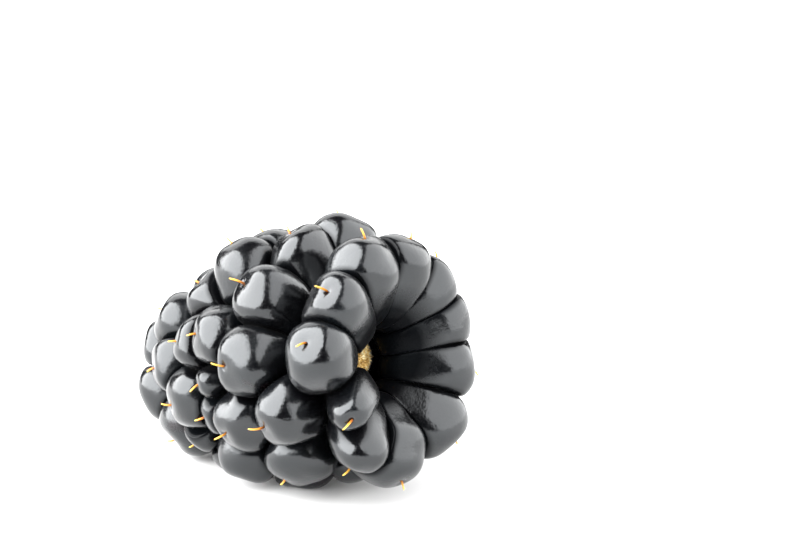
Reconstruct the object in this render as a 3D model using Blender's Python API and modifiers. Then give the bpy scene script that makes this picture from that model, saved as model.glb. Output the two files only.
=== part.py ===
"""Ripe bramble berry lying on its side: drupelets in rows round a fibrous receptacle.

The berry is laid out in its own frame, with +Z along its axis from the hollow
stem end to the tip. An empty then lays it down with the stem end towards +X and
the tip a little lower. The drupelets that touch the ground are pressed flat.
"""

from math import cos, pi, radians, sin

import bmesh
import bpy
from mathutils import Matrix, Vector

MM = 0.001

# Lying pose
TIP_DROP = radians(14)          # how far the axis dips towards the tip
GROUND_PRESS = 0.6 * MM         # how deep the lowest drupelet is flattened

# Clearance left between pieces that touch in the fruit
GAP = 0.3 * MM

# Sphere detail of one drupelet
DRUPELET_SEGMENTS = 12
DRUPELET_RINGS = 10

# Outline of the receptacle: distance along the axis and radius
RECEPTACLE_PROFILE = [
    (3.8 * MM, 0.0 * MM),
    (3.8 * MM, 1.8 * MM),
    (6.0 * MM, 2.9 * MM),
    (11.0 * MM, 3.1 * MM),
    (17.0 * MM, 2.6 * MM),
    (21.0 * MM, 1.6 * MM),
    (23.0 * MM, 0.6 * MM),
    (23.0 * MM, 0.0 * MM),
]
RECEPTACLE_SIDES = 24

# Rows of drupelets from the stem end to the tip. "along" and "radius" place the
# middle of each drupelet, "lean" turns its outer end towards the tip, and "seat"
# is the radius at which its foot meets the receptacle. Half sizes: "depth" from
# foot to outer end, "width" round the berry, "length" along the berry.
# Each drupelet is (angle in degrees, slide towards the tip in mm, shift away from
# the axis in mm, size factor). Angle 0 is the top of the lying berry.
ROWS = {
    "mouth": {
        "along": 1.4 * MM, "radius": 6.6 * MM, "lean": radians(-38), "seat": 3.0 * MM,
        "depth": 4.5 * MM, "width": 3.3 * MM, "length": 2.9 * MM,
        "drupelets": [
            (22, -0.4, -0.3, 1.04), (49, 0.0, -0.3, 1.02), (77, 0.2, -0.6, 1.04),
            (108, 0.4, -0.6, 1.06), (145, 0.5, 0.4, 1.02), (182, 0.8, 0.5, 1.12),
            (211, 0.0, -0.1, 0.80), (242, -1.9, -1.3, 0.69), (280, -1.2, 0.0, 0.97),
            (313, -1.4, -0.6, 0.93), (350, -0.9, -0.2, 1.01),
        ],
    },
    "shoulder": {
        "along": 6.8 * MM, "radius": 7.8 * MM, "lean": radians(-6), "seat": 3.5 * MM,
        "depth": 3.8 * MM, "width": 3.3 * MM, "length": 3.05 * MM,
        "drupelets": [
            (20, 0.6, 1.1, 1.04), (59, -0.4, 0.2, 1.02), (98, 0.0, 0.0, 1.02),
            (137, 0.0, 0.2, 1.04), (175, -0.2, -0.5, 1.00), (213, 0.8, -0.1, 1.02),
            (248, -2.4, 0.0, 0.90), (279, 0.3, 0.0, 0.98), (316, 0.1, 0.0, 0.94),
            (353, 0.7, 0.1, 0.98),
        ],
    },
    "middle": {
        "along": 11.6 * MM, "radius": 7.6 * MM, "lean": radians(3), "seat": 3.5 * MM,
        "depth": 3.7 * MM, "width": 3.2 * MM, "length": 3.0 * MM,
        "drupelets": [
            (2, 1.0, 0.6, 0.98), (40, 0.2, 0.2, 1.02), (77, 0.0, 0.0, 1.02),
            (115, 0.0, 0.0, 1.02), (154, -0.2, 0.3, 1.02), (190, -0.4, 0.3, 1.00),
            (218, 1.6, 0.2, 0.98), (245, -1.5, 0.0, 0.98), (269, 0.8, -0.7, 0.64),
            (294, 0.1, -0.2, 0.94), (338, 0.6, 0.8, 0.98),
        ],
    },
    "lower": {
        "along": 16.3 * MM, "radius": 6.9 * MM, "lean": radians(11), "seat": 3.0 * MM,
        "depth": 3.5 * MM, "width": 3.1 * MM, "length": 2.95 * MM,
        "drupelets": [
            (8, 0.2, 0.0, 0.98), (47, -0.4, 0.0, 1.02), (86, -0.3, 0.0, 1.02),
            (126, -0.3, 0.0, 1.02), (167, -0.4, 0.0, 1.02), (204, 0.9, 0.2, 0.96),
            (231, 1.8, -0.6, 0.76), (249, -2.6, -0.2, 0.78), (257, 0.7, 0.0, 0.98),
            (293, -1.0, -0.1, 0.90), (327, -0.2, -0.3, 0.94),
        ],
    },
    "nose": {
        "along": 20.7 * MM, "radius": 5.6 * MM, "lean": radians(24), "seat": 2.2 * MM,
        "depth": 3.4 * MM, "width": 3.0 * MM, "length": 2.85 * MM,
        "drupelets": [
            (0, 0.0, 0.0, 0.98), (44, -0.2, 0.0, 1.00), (90, 0.0, 0.0, 1.00),
            (135, 0.2, 0.0, 1.00), (181, 0.4, -0.4, 1.00), (226, 1.4, 0.3, 1.04),
            (279, -0.2, 0.0, 0.96), (316, 0.4, 0.0, 0.96),
        ],
    },
    "end": {
        "along": 24.8 * MM, "radius": 3.8 * MM, "lean": radians(44), "seat": 1.2 * MM,
        "depth": 3.1 * MM, "width": 2.85 * MM, "length": 2.7 * MM,
        "drupelets": [
            (18, 0.0, 0.0, 1.00), (92, 0.2, 0.0, 1.00), (165, 0.4, 0.0, 1.00),
            (250, 0.9, 0.3, 1.06), (302, 0.1, 0.0, 0.96),
        ],
    },
    "tip": {
        "along": 27.0 * MM, "radius": 0.0 * MM, "lean": radians(90), "seat": 0.0 * MM,
        "depth": 2.8 * MM, "width": 2.6 * MM, "length": 2.6 * MM,
        "drupelets": [
            (0, 0.0, 0.0, 1.00),
        ],
    },
}


def clear_scene():
    for old in list(bpy.data.objects):
        bpy.data.objects.remove(old, do_unlink=True)


def make_material(name, colour, roughness, metallic=0.0):
    material = bpy.data.materials.new(name)
    material.use_nodes = True
    shader = material.node_tree.nodes["Principled BSDF"]
    shader.inputs["Base Color"].default_value = (*colour, 1.0)
    shader.inputs["Roughness"].default_value = roughness
    shader.inputs["Metallic"].default_value = metallic
    return material


def add_object(name, mesh, material, collection, holder):
    part = bpy.data.objects.new(name, mesh)
    mesh.materials.append(material)
    collection.objects.link(part)
    part.parent = holder
    return part


def drupelet_layout():
    """Name, placement in the berry's frame, half sizes and seat of every drupelet."""
    layout = []
    for row_name, row in ROWS.items():
        for number, (angle, slide, shift, size) in enumerate(row["drupelets"], start=1):
            turn = Matrix.Rotation(radians(angle), 4, "Z")
            radius = row["radius"] + shift * MM
            spot = Matrix.Translation((radius, 0, row["along"] + slide * MM))
            lean = Matrix.Rotation(pi / 2 - row["lean"], 4, "Y")
            layout.append({
                "name": f"{row_name}_drupelet_{number:02d}",
                "frame": turn @ spot @ lean,
                "outward": Vector((cos(radians(angle)), sin(radians(angle)), 0)),
                "half": Vector((row["length"] * size, row["width"] * size, row["depth"])),
                "girth": row["width"] * size,
                "seat": row["seat"],
            })
    return layout


def cut_flat(bm, point, normal):
    """Remove what lies beyond a plane and close the body with one flat face."""
    geometry = bm.verts[:] + bm.edges[:] + bm.faces[:]
    cut = bmesh.ops.bisect_plane(
        bm, geom=geometry, plane_co=point, plane_no=normal, clear_outer=True, dist=1e-7)
    rim = [item for item in cut["geom_cut"] if isinstance(item, bmesh.types.BMEdge)]
    if rim:
        bmesh.ops.edgeloop_fill(bm, edges=rim)


def cut_in_frame(bm, frame, point, normal):
    """Cut with a plane given in the berry's frame."""
    inverse = frame.inverted()
    cut_flat(bm, inverse @ point, (inverse.to_3x3() @ normal).normalized())


def press_on_neighbours(bm, drupelet, layout):
    """Flatten the sides where ripe drupelets press on each other."""
    centre = drupelet["frame"].translation
    for other in layout:
        if other is drupelet:
            continue
        across = other["frame"].translation - centre
        share = drupelet["girth"] / (drupelet["girth"] + other["girth"])
        direction = across.normalized()
        wall = centre + across * share - direction * GAP / 2
        cut_in_frame(bm, drupelet["frame"], wall, direction)


def seat_on_receptacle(bm, drupelet):
    """Trim the foot so that it stands just clear of the receptacle."""
    if drupelet["seat"] > 0:
        foot = drupelet["outward"] * (drupelet["seat"] + GAP)
        cut_in_frame(bm, drupelet["frame"], foot, -drupelet["outward"])
    else:
        foot = Vector((0, 0, RECEPTACLE_PROFILE[-1][0] + GAP))
        cut_in_frame(bm, drupelet["frame"], foot, Vector((0, 0, -1)))


def build_drupelet(drupelet, layout, material, collection, holder):
    bm = bmesh.new()
    bmesh.ops.create_uvsphere(
        bm, u_segments=DRUPELET_SEGMENTS, v_segments=DRUPELET_RINGS, radius=1.0)
    bmesh.ops.scale(bm, vec=drupelet["half"], verts=bm.verts)
    press_on_neighbours(bm, drupelet, layout)
    seat_on_receptacle(bm, drupelet)
    mesh = bpy.data.meshes.new(drupelet["name"])
    bm.to_mesh(mesh)
    bm.free()
    part = add_object(drupelet["name"], mesh, material, collection, holder)
    part.matrix_local = drupelet["frame"]
    return part


def build_receptacle(material, collection, holder):
    """Fibrous cone that carries the drupelets; its blunt end shows in the hollow."""
    mesh = bpy.data.meshes.new("receptacle")
    bm = bmesh.new()
    outline = [bm.verts.new((radius, 0, along)) for along, radius in reversed(RECEPTACLE_PROFILE)]
    for upper, lower in zip(outline, outline[1:]):
        bm.edges.new((upper, lower))
    bm.to_mesh(mesh)
    bm.free()
    part = add_object("receptacle", mesh, material, collection, holder)
    screw = part.modifiers.new("turn", "SCREW")
    screw.axis = "Z"
    screw.angle = 2 * pi
    screw.steps = RECEPTACLE_SIDES
    screw.render_steps = RECEPTACLE_SIDES
    screw.use_merge_vertices = True
    screw.merge_threshold = 0.00001
    return part


def lowest_point(parts):
    return min((part.matrix_world @ vert.co).z for part in parts for vert in part.data.vertices)


def flatten_on_ground(part):
    """Cut the part level with the ground and close it with a flat resting face."""
    bm = bmesh.new()
    bm.from_mesh(part.data)
    cut_in_frame(bm, part.matrix_world, Vector((0, 0, 0)), Vector((0, 0, -1)))
    bm.to_mesh(part.data)
    bm.free()


def lay_down(holder, drupelets):
    """Lay the berry on the ground with the middle of its outline over the origin."""
    holder.rotation_euler = (0, -(pi / 2 + TIP_DROP), 0)
    bpy.context.view_layer.update()
    holder.location.z = -lowest_point(drupelets) - GROUND_PRESS
    bpy.context.view_layer.update()
    for part in drupelets:
        flatten_on_ground(part)
    corners = [part.matrix_world @ vert.co for part in drupelets for vert in part.data.vertices]
    holder.location.x = -(min(c.x for c in corners) + max(c.x for c in corners)) / 2
    holder.location.y = -(min(c.y for c in corners) + max(c.y for c in corners)) / 2
    bpy.context.view_layer.update()


def main():
    clear_scene()
    collection = bpy.data.collections.new("bramble_berry")
    bpy.context.scene.collection.children.link(collection)
    skin = make_material("drupelet_skin", (0.012, 0.011, 0.014), 0.22)
    fibre = make_material("receptacle_fibre", (0.52, 0.36, 0.16), 0.8)

    holder = bpy.data.objects.new("berry_axis", None)
    holder.empty_display_size = 10 * MM
    collection.objects.link(holder)

    layout = drupelet_layout()
    drupelets = [
        build_drupelet(drupelet, layout, skin, collection, holder) for drupelet in layout
    ]
    build_receptacle(fibre, collection, holder)
    lay_down(holder, drupelets)
    for part in drupelets:
        part.data.shade_smooth()
        part.data.set_sharp_from_angle(angle=radians(40))


main()
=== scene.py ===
import math
import random

import bmesh
import bpy
import numpy as np
from mathutils import Matrix, Quaternion, Vector


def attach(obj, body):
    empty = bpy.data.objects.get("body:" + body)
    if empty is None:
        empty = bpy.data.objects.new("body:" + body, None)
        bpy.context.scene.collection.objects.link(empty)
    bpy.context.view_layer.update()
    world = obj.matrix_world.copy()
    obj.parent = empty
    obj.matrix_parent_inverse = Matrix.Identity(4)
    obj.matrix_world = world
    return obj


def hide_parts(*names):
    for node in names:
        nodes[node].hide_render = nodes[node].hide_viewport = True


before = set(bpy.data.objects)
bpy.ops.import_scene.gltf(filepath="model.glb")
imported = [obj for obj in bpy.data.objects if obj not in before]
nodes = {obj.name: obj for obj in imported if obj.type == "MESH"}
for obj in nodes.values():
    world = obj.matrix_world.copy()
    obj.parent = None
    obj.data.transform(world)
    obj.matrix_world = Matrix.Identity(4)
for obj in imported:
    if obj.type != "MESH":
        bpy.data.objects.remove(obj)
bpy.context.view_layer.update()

mm = 0.001
bpy.context.scene.view_settings.view_transform = "Standard"


def linearColour(hexText):  # sRGB hex to the linear values that Blender shades with
    values = [int(hexText[i:i + 2], 16) / 255 for i in (1, 3, 5)]
    return [v / 12.92 if v <= 0.04045 else ((v + 0.055) / 1.055) ** 2.4 for v in values] + [1.0]


def setInputs(tree, node, inputs):  # an input takes a value, or a link from another node's socket
    for name, value in inputs.items():
        if isinstance(value, bpy.types.NodeSocket):
            tree.links.new(value, node.inputs[name])
        else:
            node.inputs[name].default_value = value


def addNode(tree, kind, inputs=None, **options):
    node = tree.nodes.new("ShaderNode" + kind)
    for name, value in options.items():
        setattr(node, name, value)
    setInputs(tree, node, inputs or {})
    return node


def setRamp(ramp, stops):  # stops are (position, sRGB hex)
    elements = ramp.color_ramp.elements
    while len(elements) < len(stops):
        elements.new(0.5)
    for element, (position, hexText) in zip(elements, stops):
        element.position = position
        element.color = linearColour(hexText)


def newMaterial(name):
    material = bpy.data.materials.new(name)
    material.use_nodes = True
    tree = material.node_tree
    return material, tree, tree.nodes["Principled BSDF"]


def finishPiece(name, bm, material, nodeNames=()):
    bmesh.ops.recalc_face_normals(bm, faces=bm.faces[:])
    mesh = bpy.data.meshes.new(name)
    bm.to_mesh(mesh)
    bm.free()
    mesh.materials.append(material)
    mesh.shade_smooth()
    piece = bpy.data.objects.new(name, mesh)
    bpy.context.scene.collection.objects.link(piece)
    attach(piece, "root")
    if nodeNames:
        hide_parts(*nodeNames)


# the berry's axis, read from the receptacle
def meshPoints(node):
    return np.array([vert.co for vert in node.data.vertices])


corePoints = meshPoints(nodes["receptacle"])
coreMiddle = corePoints.mean(0)
tipWay = np.linalg.svd(corePoints - coreMiddle, full_matrices=False)[2][0]
if tipWay[0] > 0:
    tipWay = -tipWay  # the tip lies towards -X
alongCore = (corePoints - coreMiddle) @ tipWay
tipWay = Vector(tipWay)
stemEnd = Vector(coreMiddle) + tipWay * float(alongCore.min())  # middle of the blunt end in the hollow


def outFromAxis(point):
    arm = point - stemEnd
    return arm - tipWay * arm.dot(tipWay)


def placeOnAxis(tree, spot):  # in a material: how far a point lies past the blunt end, and out from the axis
    arm = addNode(tree, "VectorMath", {0: spot, 1: tuple(stemEnd)}, operation="SUBTRACT").outputs["Vector"]
    depth = addNode(tree, "VectorMath", {0: arm, 1: tuple(tipWay)}, operation="DOT_PRODUCT")
    around = addNode(tree, "VectorMath", {0: arm, 1: tuple(tipWay)}, operation="CROSS_PRODUCT")
    radius = addNode(tree, "VectorMath", {0: around.outputs["Vector"]}, operation="LENGTH")
    return depth.outputs["Value"], radius.outputs["Value"]


# each drupelet's own ellipsoid, fitted to the part of its solid that nothing cuts; out is its way from the
# berry's axis, along runs nearest to the axis, and side is square to both
ellipsoidFit = {
    "decimals": 8,              # vertices that agree to this many decimals of a metre are one
    "nearAxis": 0.8 * mm,       # only the drupelet on the tip stands this near the axis
    "offGround": 0.01 * mm,     # vertices below this are in the flat that rests on the ground
    "tolerances": (0.05, 0.02, 0.006, 0.002),  # the next fit takes the vertices that lie this near the last
}


def fitEllipsoid(points):  # least squares fit of a quadric surface: its middle, half axes and directions
    x, y, z = points.T
    terms = np.stack([x * x, y * y, z * z, 2 * x * y, 2 * x * z, 2 * y * z, x, y, z], 1)
    a = np.linalg.lstsq(terms, np.ones(len(x)), rcond=None)[0]
    form = np.array([[a[0], a[3], a[4]], [a[3], a[1], a[5]], [a[4], a[5], a[2]]])
    middle = -0.5 * np.linalg.solve(form, a[6:])
    scale = 1 + middle @ form @ middle
    values, turns = np.linalg.eigh(form / scale)
    return middle, 1 / np.sqrt(np.abs(values)), turns.T


def readDrupelet(name):
    points = np.unique(np.round(meshPoints(nodes[name]), ellipsoidFit["decimals"]), axis=0)
    centroid = points.mean(0)
    outward = np.array(outFromAxis(Vector(centroid)))
    if np.linalg.norm(outward) < ellipsoidFit["nearAxis"]:
        outward = np.array(tipWay)
    local = (points - centroid) / mm
    height = local @ (outward / np.linalg.norm(outward))
    free = points[:, 2] > ellipsoidFit["offGround"]
    chosen = (height > np.median(height)) & free
    for tolerance in ellipsoidFit["tolerances"]:
        middle, halves, turns = fitEllipsoid(local[chosen])
        unit = (local - middle) @ turns.T / halves
        chosen = (np.abs((unit ** 2).sum(1) - 1) < tolerance) & free
    outAxis, *others = sorted(range(3), key=lambda k: -abs(turns[k] @ outward))
    alongAxis, sideAxis = sorted(others, key=lambda k: -abs(turns[k] @ np.array(tipWay)))
    out = turns[outAxis] * np.sign(turns[outAxis] @ outward)
    along = turns[alongAxis] * (np.sign(turns[alongAxis] @ np.array(tipWay)) or 1)
    return {
        "name": name,
        "middle": Vector(centroid + middle * mm),
        "out": Vector(out), "along": Vector(along), "side": Vector(np.cross(out, along)),
        "depth": float(halves[outAxis]) * mm,
        "length": float(halves[alongAxis]) * mm,
        "width": float(halves[sideAxis]) * mm,
    }


drupelets = [readDrupelet(name) for name in sorted(nodes) if name != "receptacle"]
print("drupelets read:", len(drupelets))

# skin: ripe drupelet skin, grown thin and taut over black juice, so it shines; its cells and a thin bloom of
# wax soften what it mirrors; in the hollow it is made rougher, and there and in the creases its mirror image
# is dimmed as painted shade
skinLook = {
    "colours": ((0.4, "#040405"), (0.66, "#07090b"), (0.78, "#16060a")),  # black, slate and a little red
    "patch": 5.0 * mm,          # size of the patches that the colour drifts in
    "grain": 0.22 * mm,         # skin cells, drawn a little coarse so that they show
    "grainHeight": 0.012 * mm, "grainRange": (0.3, 0.7),  # the range that most of the noise lies in
    "dents": 0.9 * mm, "dentHeight": 0.02 * mm,           # taut skin is never quite even
    "ior": 1.5, "roughness": (0.13, 0.2),
    "bloom": 0.09, "bloomRange": (0.35, 0.7),  # roughness that the wax adds, in some of the patches
    "waxTint": "#f8fcff",       # the wax cools what the skin mirrors
    "sheen": 0.01, "sheenRoughness": 0.35,
    "gloss": 0.5,               # specular level out in the open
    "paintedShadeGloss": 0.03,         # and where painted shade dims the skin's mirror image
    "matteRoughness": 0.14,     # added inside the hollow
    "matteAndShadeInside": 3.9 * mm, "glossOutside": 6.0 * mm,  # in the hollow, towards the axis, the skin is rougher and painted shade dims its mirror image
    "hollowDepth": 8.0 * mm, "hollowFade": 4.0 * mm,    # that ends this far past the blunt end
    "creaseShadeFull": 0.1 * mm, "creaseShadeEnd": 0.7 * mm,      # in a crease painted shade dims the mirror image towards the neighbour
}


def makeSkin():
    material, tree, shader = newMaterial("ripeDrupeletSkin")
    spot = addNode(tree, "TexCoord").outputs["Object"]
    noises = [
        addNode(tree, "TexNoise", {"Vector": spot, "Scale": 1 / skinLook[size], "Detail": detail})
        for size, detail in (("patch", 2.0), ("grain", 1.0), ("dents", 1.0))
    ]
    drift, grain, dents = [noise.outputs["Fac"] for noise in noises]
    tint = addNode(tree, "ValToRGB", {"Fac": drift})
    setRamp(tint, skinLook["colours"])
    depth, radius = placeOnAxis(tree, spot)
    past = addNode(tree, "MapRange", {
        "Value": depth,
        "From Min": skinLook["hollowDepth"], "From Max": skinLook["hollowDepth"] + skinLook["hollowFade"],
        "To Min": 0.0, "To Max": skinLook["glossOutside"],
    })
    reach = addNode(tree, "Math", {0: radius, 1: past.outputs["Result"]}, operation="ADD")
    # painted shade: in the hollow the specular level falls towards the axis, and the skin is made rougher
    # there
    hollow = {
        "Value": reach.outputs["Value"],
        "From Min": skinLook["matteAndShadeInside"], "From Max": skinLook["glossOutside"],
    }
    matte = addNode(tree, "MapRange", {**hollow, "To Min": skinLook["matteRoughness"], "To Max": 0.0})
    outer = addNode(tree, "MapRange", {
        **hollow, "To Min": skinLook["paintedShadeGloss"], "To Max": skinLook["gloss"],
    })
    # painted shade: in a crease the specular level falls towards the neighbour
    room = addNode(tree, "Attribute", attribute_name="clearance")
    creaseShade = addNode(tree, "MapRange", {
        "Value": room.outputs["Fac"],
        "From Min": skinLook["creaseShadeFull"], "From Max": skinLook["creaseShadeEnd"],
        "To Min": skinLook["paintedShadeGloss"], "To Max": skinLook["gloss"],
    }, interpolation_type="SMOOTHSTEP")
    gloss = addNode(tree, "Math", {
        0: outer.outputs["Result"], 1: creaseShade.outputs["Result"],
    }, operation="MINIMUM")
    cells = addNode(tree, "MapRange", {
        "Value": grain,
        "From Min": skinLook["grainRange"][0], "From Max": skinLook["grainRange"][1],
        "To Min": skinLook["roughness"][0], "To Max": skinLook["roughness"][1],
    })
    bloom = addNode(tree, "MapRange", {
        "Value": drift,
        "From Min": skinLook["bloomRange"][0], "From Max": skinLook["bloomRange"][1],
        "To Min": 0.0, "To Max": skinLook["bloom"],
    })
    waxed = addNode(tree, "Math", {0: cells.outputs["Result"], 1: bloom.outputs["Result"]}, operation="ADD")
    rough = addNode(tree, "Math", {0: waxed.outputs["Value"], 1: matte.outputs["Result"]}, operation="ADD")
    soft = addNode(tree, "Bump", {"Height": dents, "Strength": 1.0, "Distance": skinLook["dentHeight"]})
    fine = addNode(tree, "Bump", {
        "Height": grain, "Strength": 1.0, "Distance": skinLook["grainHeight"],
        "Normal": soft.outputs["Normal"],
    })
    setInputs(tree, shader, {
        "Base Color": tint.outputs["Color"],
        "Roughness": rough.outputs["Value"],
        "Normal": fine.outputs["Normal"],
        "Specular IOR Level": gloss.outputs["Value"],
        "IOR": skinLook["ior"],
        "Specular Tint": linearColour(skinLook["waxTint"]),
        "Sheen Weight": skinLook["sheen"],
        "Sheen Roughness": skinLook["sheenRoughness"],
    })
    return material


skin = makeSkin()

# drupelets: each grows from its CAD ellipsoid, fills out like a pillow and presses on its neighbours
drupeletShape = {
    "detail": 5,                # icosphere subdivisions
    "gap": 0.02 * mm,           # left in the crease between two drupelets
    "grownGap": -0.22 * mm,     # round the hollow the drupelets have grown together
    "press": 0.17 * mm,         # how softly a drupelet bends where it meets its neighbour
    "presses": 2,               # times round all its walls, because pressing on one moves it past another
    "reach": 9.0 * mm,          # neighbours further away than this never touch
    "plump": 2.35,              # 2 is an ellipsoid, more is a pillow
    "mouthPlump": 2.05,         # on the far side of the hollow
    "footPlump": 3.0,           # the foot is fuller still, so that the feet close up round the core
    "footStart": 0.1, "footSlope": 1.6,                 # how it becomes so, from the waist down
    "mouthFill": 1.12,          # the far side of the hollow is wider, so that it closes too
    "shortFoot": 0.18,          # share of its depth that one front drupelet lacks, so that the core shows
    "lump": 0.2 * mm, "lumpWaves": 6,
    "lumpSize": 3.4 * mm, "lumpRange": (0.5, 1.0),      # waves of this length, up to twice as long
    "bean": 0.4 * mm,           # how far the two ends bend away from the middle at most
    "beanMiddle": 0.35,         # the share of it that the middle bends the other way
    "pitWidth": 0.26 * mm, "pitDepth": 0.2 * mm,        # the hole that the dried style stands in
    "dimpleWidth": 1.2 * mm, "dimpleDepth": 0.26 * mm,  # and the shallow dip round it
    "pitLean": 14, "leanRange": (-4, 6), "turnRange": (-8, 8),  # its place, in degrees from the outer end
    "ground": -0.09 * mm,       # wall under the berry; the soft press leaves the skin just above it
}
openSide = ["mouth_drupelet_%02d" % number for number in range(1, 7)]  # the far side of the hollow
shortFooted = "mouth_drupelet_08"
pitSpots = {  # degrees towards the tip and sideways, where the pit isn't in the usual place
    "mouth_drupelet_07": (45, 0), "mouth_drupelet_08": (-6, 4), "mouth_drupelet_09": (9, -17),
    "mouth_drupelet_10": (12, 4), "mouth_drupelet_11": (14, -4),
}
groundWall = (np.array([0, 0, drupeletShape["ground"]]), np.array([0.0, 0.0, -1.0]))


def lumpWaves(rng):  # a few long waves that make each drupelet its own shape
    waves = []
    for _ in range(drupeletShape["lumpWaves"]):
        way = np.array([rng.gauss(0, 1) for _ in range(3)])
        way *= 2 * math.pi / drupeletShape["lumpSize"] / np.linalg.norm(way)
        waves.append((way * rng.uniform(*drupeletShape["lumpRange"]), rng.uniform(0, 2 * math.pi)))
    return waves


def wallsOf(drupelet):  # a flat wall towards each neighbour, as a point on it and the way past it
    walls = []
    girth = drupelet["width"]
    for other in drupelets:
        across = other["middle"] - drupelet["middle"]
        if other is drupelet or across.length > drupeletShape["reach"]:
            continue
        way = across.normalized()
        share = girth / (girth + other["width"])
        grown = all(name.startswith(("mouth", "shoulder")) for name in (drupelet["name"], other["name"]))
        gap = drupeletShape["grownGap" if grown else "gap"]
        spot = drupelet["middle"] + across * share - way * gap / 2
        walls.append((np.array(spot), np.array(way)))
    return walls


def pressBehind(points, spot, way):  # what lies past a wall is brought back behind it, smoothly
    soft = drupeletShape["press"]
    distance = (points - spot) @ way
    pressed = -soft * np.logaddexp(0, -distance / soft)
    return points + np.outer(pressed - distance, way)


def pillow(directions, plump):
    foot = np.clip(drupeletShape["footStart"] - drupeletShape["footSlope"] * directions[:, 2:], 0, 1)
    n = plump + (drupeletShape["footPlump"] - plump) * foot
    return directions / (np.abs(directions) ** n).sum(1, keepdims=True) ** (1 / n)


def surfacePoint(drupelet, towardsTip, sideways):  # angles from the outer end, in degrees
    t, w = math.tan(math.radians(towardsTip)), math.tan(math.radians(sideways))
    local = np.array([Vector((w, t, 1)).normalized()])
    return drupelet["turn"] @ (pillow(local, drupelet["plump"])[0] * drupelet["size"]) + drupelet["spot"]


def shapeDrupelet(drupelet, points, waves):
    points = pillow(points, drupelet["plump"]) * drupelet["size"]
    ends = (points[:, 1] / drupelet["size"][1]) ** 2
    points[:, 0] += drupelet["bend"] * (ends - drupeletShape["beanMiddle"])
    away = points / np.linalg.norm(points, axis=1, keepdims=True)
    swell = sum(np.sin(points @ way + phase) for way, phase in waves) / len(waves)
    points = points + away * swell[:, None] * drupeletShape["lump"] * 2  # the mean wave seldom passes a half
    points = points @ drupelet["turn"].T + drupelet["spot"]
    fromPit = np.linalg.norm(points - drupelet["pit"], axis=1)
    inward = drupelet["spot"] - drupelet["pit"]
    inward /= np.linalg.norm(inward)
    for part in ("pit", "dimple"):
        fall = np.exp(-(fromPit / drupeletShape[part + "Width"]) ** 2)
        points = points + np.outer(fall, inward) * drupeletShape[part + "Depth"]
    for _ in range(drupeletShape["presses"]):
        for spot, way in drupelet["walls"] + [groundWall]:
            points = pressBehind(points, spot, way)
    return points


def makeDrupelet(drupelet, rng):
    bm = bmesh.new()
    bmesh.ops.create_icosphere(bm, subdivisions=drupeletShape["detail"], radius=1.0)
    sphere = np.array([vert.co for vert in bm.verts])
    points = shapeDrupelet(drupelet, sphere, lumpWaves(rng))
    clearances = np.min([(spot - points) @ way for spot, way in drupelet["walls"]], axis=0)
    layer = bm.verts.layers.float.new("clearance")  # painted shade in the creases goes by the skin's distance to the nearest wall
    for vert, point, clearance in zip(bm.verts, points, clearances):
        vert.co = point
        vert[layer] = clearance
    name = drupelet["name"].replace("_drupelet", "_skin")
    finishPiece(name, bm, skin, [drupelet["name"]])


rng = random.Random(11)
for drupelet in drupelets:
    name = drupelet["name"]
    fill = drupeletShape["mouthFill"] if name in openSide else 1.0
    drupelet["turn"] = np.array((drupelet["side"], drupelet["along"], drupelet["out"])).T
    drupelet["plump"] = drupeletShape["mouthPlump" if name in openSide else "plump"]
    drupelet["size"] = np.array((drupelet["width"] * fill, drupelet["length"], drupelet["depth"]))
    drupelet["spot"] = np.array(drupelet["middle"])
    if name == shortFooted:
        short = drupelet["depth"] * drupeletShape["shortFoot"]
        drupelet["size"] -= np.array((short / 2, 0, short))  # a little narrower too
        drupelet["spot"] += np.array(drupelet["out"]) * short
    drupelet["walls"] = wallsOf(drupelet)
    drupelet["bend"] = 0.0 if name in openSide else rng.uniform(-1, 1) * drupeletShape["bean"]
    lean, turn = pitSpots.get(name, (drupeletShape["pitLean"], 0))
    lean += rng.uniform(*drupeletShape["leanRange"])
    turn += rng.uniform(*drupeletShape["turnRange"])
    drupelet["pit"] = surfacePoint(drupelet, lean, turn)
    makeDrupelet(drupelet, rng)
print("drupelets shaped")

# receptacle: the spongy core that the drupelets grow on; dried plant fibre, torn off matt and cream at the
# blunt end; its sides and the rim of its end are painted nearly black as shade, where the drupelets hide it
fibreLook = {
    "colours": ((0.32, "#94703a"), (0.48, "#cfab62"), (0.62, "#e8dcae")),  # brown, tan and cream
    "patch": 0.5 * mm,
    "thread": 0.12 * mm, "threadHeight": 0.06 * mm,  # drawn coarser than the real fibres, so that they show
    "roughness": 0.85,
    # painted shade: near black where the drupelets hide the pale core
    "shadeColour": "#080505",
    "shadeDepth": (0.1 * mm, 0.5 * mm),     # painted shade darkens the sides from this far past the blunt end
    "shadeRadius": (1.45 * mm, 1.8 * mm),   # and the rim of its end, out from the axis, as painted shade
}


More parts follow.
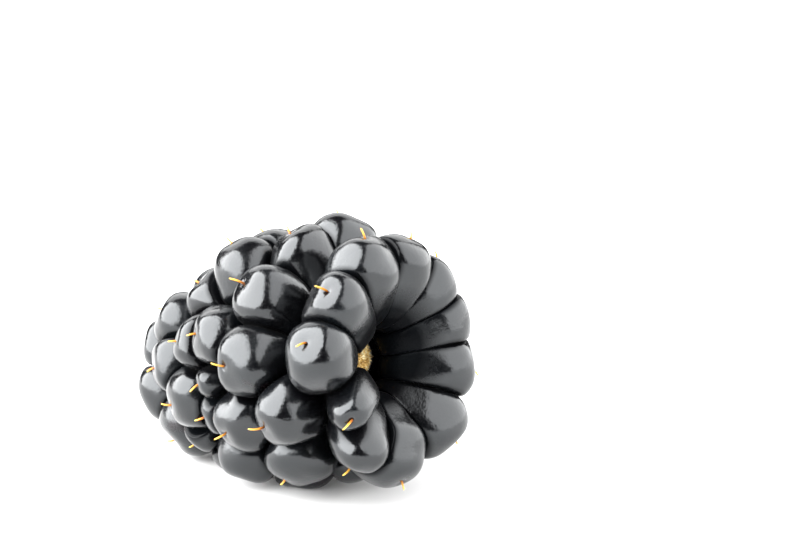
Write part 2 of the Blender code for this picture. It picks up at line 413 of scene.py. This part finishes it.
def makeFibre():
    material, tree, shader = newMaterial("driedReceptacleFibre")
    spot = addNode(tree, "TexCoord").outputs["Object"]
    patch = addNode(tree, "TexNoise", {"Vector": spot, "Scale": 1 / fibreLook["patch"], "Detail": 5.0})
    tint = addNode(tree, "ValToRGB", {"Fac": patch.outputs["Fac"]})
    setRamp(tint, fibreLook["colours"])
    depth, radius = placeOnAxis(tree, spot)
    # painted shade: the sides past the blunt end and the rim of the end go nearly black
    side, rim = [
        addNode(tree, "MapRange", {"Value": place, "From Min": start, "From Max": end}).outputs["Result"]
        for place, (start, end) in ((depth, fibreLook["shadeDepth"]), (radius, fibreLook["shadeRadius"]))
    ]
    dark = addNode(tree, "Math", {0: side, 1: rim}, operation="MAXIMUM")
    shaded = addNode(tree, "Mix", {
        "Factor": dark.outputs["Value"],
        6: tint.outputs["Color"], 7: linearColour(fibreLook["shadeColour"]),
    }, data_type="RGBA")
    threads = addNode(tree, "TexNoise", {"Vector": spot, "Scale": 1 / fibreLook["thread"], "Detail": 3.0})
    bump = addNode(tree, "Bump", {
        "Height": threads.outputs["Fac"], "Strength": 1.0, "Distance": fibreLook["threadHeight"],
    })
    setInputs(tree, shader, {
        "Base Color": shaded.outputs[2],
        "Normal": bump.outputs["Normal"],
        "Roughness": fibreLook["roughness"],
    })
    return material


fibre = makeFibre()
coreMesh = {
    "weld": 0.001 * mm,         # the node's triangles are loose
    "cuts": 2,                  # on each edge
}


def makeReceptacle():
    bm = bmesh.new()
    bm.from_mesh(nodes["receptacle"].data)
    bmesh.ops.remove_doubles(bm, verts=bm.verts, dist=coreMesh["weld"])
    bmesh.ops.subdivide_edges(bm, edges=bm.edges[:], cuts=coreMesh["cuts"], use_grid_fill=True)
    finishPiece("receptacle_core", bm, fibre, ["receptacle"])


makeReceptacle()

hairKeeps = {"step": 0.95, "last": 0.4}  # how much of its thickness a hair keeps at each step
fuzzShape = {  # torn fibres that stand up from the blunt end
    "hairs": 340, "spread": 1.5 * mm,
    "length": 0.42 * mm, "lengthRange": (0.5, 1.3), "radius": 0.032 * mm,
    "sides": 4, "steps": 3,
    "sunk": 0.05 * mm,          # how deep they stand in the core
    "splay": 0.7,               # how far they lean out at the rim
    "wander": 0.45,             # and to any side
    "curl": (-0.2, 0.9),        # how far they bend out on the way up
}


def growHair(bm, shape, start, way, bendWay, length, layer=None):  # a disc, extruded and turned step by step
    disc = bmesh.ops.create_circle(bm, cap_ends=True, segments=shape["sides"], radius=shape["radius"])
    place = Matrix.Translation(start) @ way.to_track_quat("Z", "Y").to_matrix().to_4x4()
    bmesh.ops.transform(bm, matrix=place, verts=disc["verts"])
    end = list({face for vert in disc["verts"] for face in vert.link_faces})
    middle = start
    steps = shape["steps"]
    for number in range(1, steps + 1):
        grown = bmesh.ops.extrude_face_region(bm, geom=end)["geom"]
        verts = [item for item in grown if isinstance(item, bmesh.types.BMVert)]
        end = [item for item in grown if isinstance(item, bmesh.types.BMFace)]
        newWay = (way + bendWay / steps).normalized()
        bmesh.ops.rotate(bm, cent=middle, matrix=way.rotation_difference(newWay).to_matrix(), verts=verts)
        way = newWay
        bmesh.ops.translate(bm, vec=way * length / steps, verts=verts)
        middle = middle + way * length / steps
        thin = hairKeeps["last" if number == steps else "step"]
        bmesh.ops.scale(bm, vec=(thin, thin, thin), space=Matrix.Translation(-middle), verts=verts)
        if layer:
            for vert in verts:
                vert[layer] = number / steps


def makeFuzz(rng):
    bm = bmesh.new()
    across = tipWay.orthogonal().normalized()
    beside = tipWay.cross(across)
    for number in range(fuzzShape["hairs"]):
        share = math.sqrt((number + 0.5) / fuzzShape["hairs"])
        angle = number * math.pi * (3 - math.sqrt(5))  # the golden angle spreads them evenly over the end
        radial = across * math.cos(angle) + beside * math.sin(angle)
        start = stemEnd + radial * share * fuzzShape["spread"] + tipWay * fuzzShape["sunk"]
        wander = Vector([rng.uniform(-fuzzShape["wander"], fuzzShape["wander"]) for _ in range(3)])
        way = (radial * share * fuzzShape["splay"] - tipWay + wander).normalized()
        bendWay = radial * rng.uniform(*fuzzShape["curl"]) + wander
        length = fuzzShape["length"] * rng.uniform(*fuzzShape["lengthRange"])
        growHair(bm, fuzzShape, start, way, bendWay, length)
    finishPiece("receptacle_fibres", bm, fibre)


makeFuzz(random.Random(5))
print("receptacle made")

# dried styles: stiff hairs, one on most drupelets, dried to a curl; dried plant hair, amber and a little
# see-through, and paler towards its end
styleLook = {
    "colours": ((0.1, "#7f420d"), (0.4, "#b67a18"), (0.9, "#cda949")),  # from the foot to the end
    "grain": 0.08 * mm, "grainHeight": 0.02 * mm,
    "roughness": 0.5, "translucence": 0.3, "lightDepth": 0.1 * mm,
}
styleShape = {
    "sides": 7, "steps": 9,
    "length": 1.22 * mm, "lengthRange": (0.8, 1.2), "radius": 0.11 * mm,
    "sunk": 0.5 * mm,           # how deep the foot stands, below the pit and the dip
    "sideways": (-0.9, 0.9), "lean": (0.0, 0.7),        # which way the hair lies over, and how far
    "curl": (0.4, 1.6), "droop": (0.0, 0.5),            # how far it curls on that way, and droops
    "lowest": 1.5 * mm,         # a drupelet whose pit is nearer the ground has none
}


def makeStyleFibre():
    material, tree, shader = newMaterial("driedStyleHair")
    spot = addNode(tree, "TexCoord").outputs["Object"]
    along = addNode(tree, "Attribute", attribute_name="along")
    tint = addNode(tree, "ValToRGB", {"Fac": along.outputs["Fac"]})
    setRamp(tint, styleLook["colours"])
    grain = addNode(tree, "TexNoise", {"Vector": spot, "Scale": 1 / styleLook["grain"], "Detail": 2.0})
    bump = addNode(tree, "Bump", {
        "Height": grain.outputs["Fac"], "Strength": 1.0, "Distance": styleLook["grainHeight"],
    })
    setInputs(tree, shader, {
        "Base Color": tint.outputs["Color"],
        "Normal": bump.outputs["Normal"],
        "Roughness": styleLook["roughness"],
        "Subsurface Weight": styleLook["translucence"],
        "Subsurface Scale": styleLook["lightDepth"],
    })
    return material


styleFibre = makeStyleFibre()


def makeStyle(drupelet, rng):
    pit = Vector(drupelet["pit"])
    outward = (pit - drupelet["middle"]).normalized()
    lie = (drupelet["along"] + drupelet["side"] * rng.uniform(*styleShape["sideways"])).normalized()
    way = (outward + lie * rng.uniform(*styleShape["lean"])).normalized()
    bendWay = lie * rng.uniform(*styleShape["curl"]) - outward * rng.uniform(*styleShape["droop"])
    bm = bmesh.new()
    layer = bm.verts.layers.float.new("along")
    start = pit - outward * styleShape["sunk"]
    length = styleShape["length"] * rng.uniform(*styleShape["lengthRange"])
    growHair(bm, styleShape, start, way, bendWay, length, layer)
    finishPiece(drupelet["name"].replace("_drupelet", "_style"), bm, styleFibre)


for drupelet in drupelets:
    if drupelet["pit"][2] > styleShape["lowest"]:
        makeStyle(drupelet, rng)
print("styles made")

# studio: pale floor, soft lights, camera
studio = {
    "floorSize": 3.0, "floorTint": "#c4c4c4", "floorRoughness": 0.9,
    "roomTint": "#ffffff", "roomLight": 0.2, "roomGloss": 0.0,  # the berry mirrors a dark room
    "distance": 190 * mm, "azimuth": 47, "elevation": 14, "lens": 100, "clipStart": 10 * mm,
    "aimRight": 3.8 * mm, "aimUp": 7.24 * mm,  # from the blunt end to the middle of the view
}
softboxes = {  # angles are in degrees, and turn is counted from the camera; lengths are in metres
    "keySoftbox": {"shape": "ELLIPSE", "turn": -71, "lean": 16, "roll": -22, "reach": 0.5, "lift": -0.1,
                   "width": 1.05, "height": 1.2, "radiance": 14.0},
    "fillSoftbox": {"shape": "RECTANGLE", "turn": 86, "lean": 14, "roll": 26, "reach": 0.5, "lift": -0.22,
                    "width": 1.0, "height": 1.15, "radiance": 5.5},
    "backSoftbox": {"shape": "RECTANGLE", "turn": 185, "lean": 30, "roll": 0, "reach": 0.8, "lift": 0.2,
                    "width": 0.9, "height": 0.6, "radiance": 3.0},
}


def lookFrom(azimuth, elevation):
    a, e = math.radians(azimuth), math.radians(elevation)
    return Vector((math.sin(a) * math.cos(e), -math.cos(a) * math.cos(e), math.sin(e)))


def makeFloor():  # board painted matt white: pale and even, with hardly a mirror image
    bm = bmesh.new()
    bmesh.ops.create_grid(bm, x_segments=1, y_segments=1, size=studio["floorSize"] / 2)
    mesh = bpy.data.meshes.new("floor")
    bm.to_mesh(mesh)
    bm.free()
    material, tree, shader = newMaterial("matteWhiteBoard")
    setInputs(tree, shader, {
        "Base Color": linearColour(studio["floorTint"]),
        "Roughness": studio["floorRoughness"],
    })
    mesh.materials.append(material)
    floor = bpy.data.objects.new("floor", mesh)
    bpy.context.scene.collection.objects.link(floor)


def makeSoftbox(name, look):  # a panel that leans over the berry; its foot may hang below the table's edge
    data = bpy.data.lights.new(name, "AREA")
    data.shape = look["shape"]
    data.size, data.size_y = look["width"], look["height"]
    lit = look["width"] * look["height"] * (math.pi / 4 if look["shape"] == "ELLIPSE" else 1)
    data.energy = look["radiance"] * math.pi * lit  # so that it looks equally bright at any size
    light = bpy.data.objects.new(name, data)
    azimuth = studio["azimuth"] + look["turn"]
    facing = lookFrom(azimuth, look["lean"])
    rise = facing.cross(Vector((0, 0, 1)).cross(facing)).normalized()
    foot = lookFrom(azimuth, 0) * look["reach"] + Vector((0, 0, look["lift"]))
    light.location = foot + rise * look["height"] / 2
    aim = (-facing).to_track_quat("-Z", "Y")
    light.rotation_euler = (aim @ Quaternion((0, 0, 1), math.radians(look["roll"]))).to_euler()
    bpy.context.scene.collection.objects.link(light)


def makeWorld():
    world = bpy.data.worlds.new("softRoom")
    world.use_nodes = True
    tree = world.node_tree
    tree.nodes.clear()
    tint = linearColour(studio["roomTint"])
    path = addNode(tree, "LightPath")
    lit = addNode(tree, "Background", {"Color": tint, "Strength": studio["roomLight"]})
    mirrored = addNode(tree, "Background", {"Color": tint, "Strength": studio["roomGloss"]})
    mix = addNode(tree, "MixShader", {
        0: path.outputs["Is Glossy Ray"], 1: lit.outputs[0], 2: mirrored.outputs[0],
    })
    addNode(tree, "OutputWorld", {"Surface": mix.outputs[0]})
    bpy.context.scene.world = world


def makeCamera():
    data = bpy.data.cameras.new("camera")
    data.lens = studio["lens"]
    data.clip_start = studio["clipStart"]
    camera = bpy.data.objects.new("camera", data)
    way = lookFrom(studio["azimuth"], studio["elevation"])
    right = Vector((0, 0, 1)).cross(way).normalized()
    up = way.cross(right)
    aim = stemEnd + right * studio["aimRight"] + up * studio["aimUp"]
    camera.location = aim + way * studio["distance"]
    camera.rotation_euler = (-way).to_track_quat("-Z", "Y").to_euler()
    bpy.context.scene.collection.objects.link(camera)
    bpy.context.scene.camera = camera


makeFloor()
makeWorld()
for name, look in softboxes.items():
    makeSoftbox(name, look)
makeCamera()
print("studio set")
